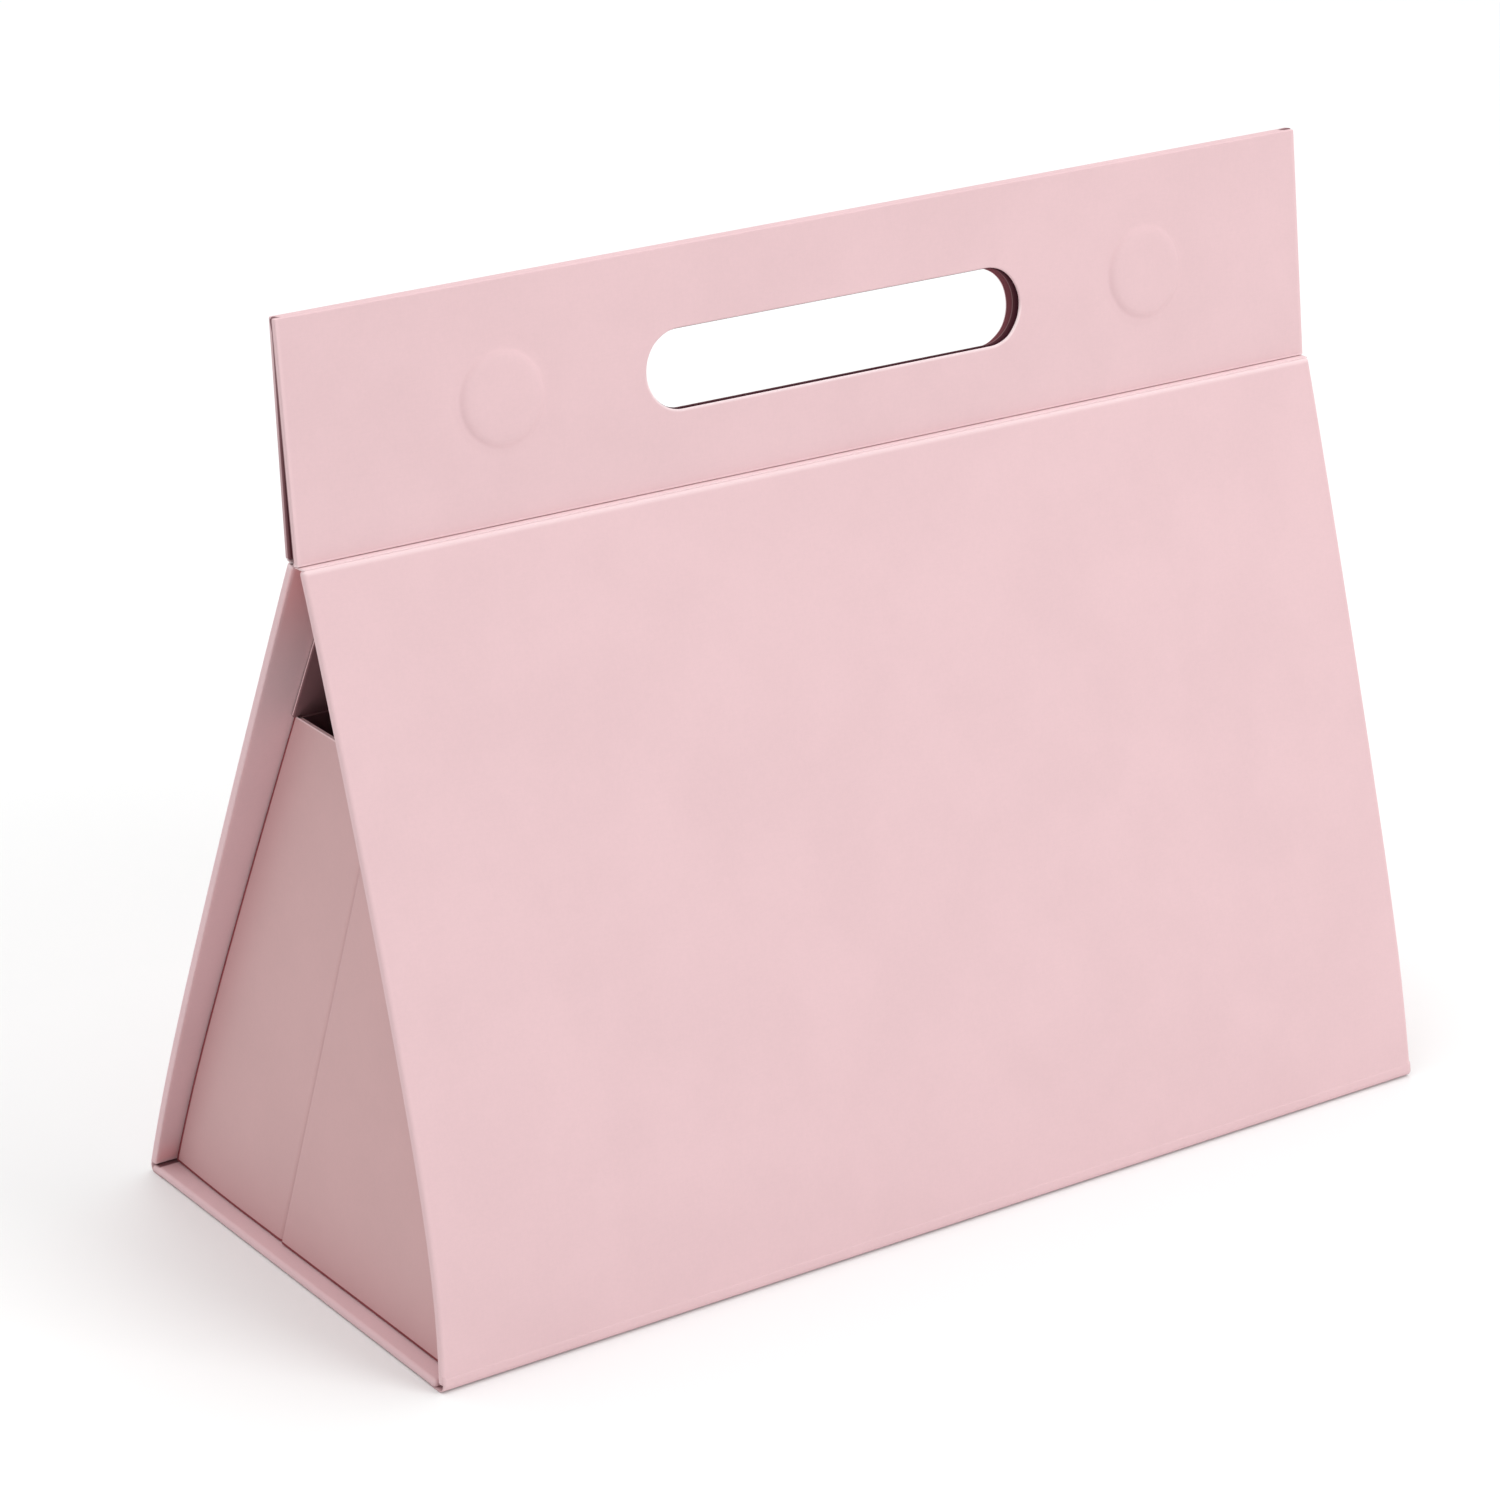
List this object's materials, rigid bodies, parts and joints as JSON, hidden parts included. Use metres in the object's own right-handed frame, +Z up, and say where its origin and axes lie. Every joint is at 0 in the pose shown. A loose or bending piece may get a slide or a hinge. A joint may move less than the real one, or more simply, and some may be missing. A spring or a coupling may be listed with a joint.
{
  "type": "magnetic gift box",
  "caption": "Rigid gift box of pale pink wrapped board: leaning walls close to a narrow neck under a slotted magnetic handle flap pair.",
  "frame": {"origin": "centre of the base's underside, where the box rests on the table", "axes": "+X along the width, from the picture's left end to its right end; -Y toward the front wall; +Z up"},
  "size_m": [0.27, 0.1154, 0.2103],
  "materials": {
    "wrap_paper": "matt uncoated art paper, pale pink",
    "liner_paper": "matt uncoated art paper, pale pink",
    "gusset_paper": "matt uncoated card, pale pink",
    "magnet": "nickel plated"
  },
  "bodies": {
    "case": {"base_board": "wrap_paper", "base_lining": "liner_paper", "back_wall_board": "wrap_paper", "back_lining": "liner_paper", "left_gusset": "gusset_paper", "right_gusset": "gusset_paper"},
    "front_wall": {"front_wall_board": "wrap_paper", "front_lining": "liner_paper"},
    "front_flap": {"front_handle_board": "wrap_paper", "front_flap_lining": "liner_paper", "front_magnet_left": "magnet", "front_magnet_right": "magnet"},
    "back_flap": {"back_handle_board": "wrap_paper", "back_flap_lining": "liner_paper", "back_magnet_left": "magnet", "back_magnet_right": "magnet"}
  },
  "joints": [
    {"name": "front_wall_fold", "type": "hinge", "parent": "case", "child": "front_wall", "pos_m": [0, -0.058, 0], "axis": [1, 0, 0], "range_deg": [0, 85]},
    {"name": "front_flap_fold", "type": "hinge", "parent": "front_wall", "child": "front_flap", "pos_m": [0, -0.001, 0.1598], "axis": [1, 0, 0], "range_deg": [0, 80]},
    {"name": "back_flap_fold", "type": "hinge", "parent": "case", "child": "back_flap", "pos_m": [0, 0.0036, 0.1602], "axis": [-1, 0, 0], "range_deg": [0, 80]}
  ]
}
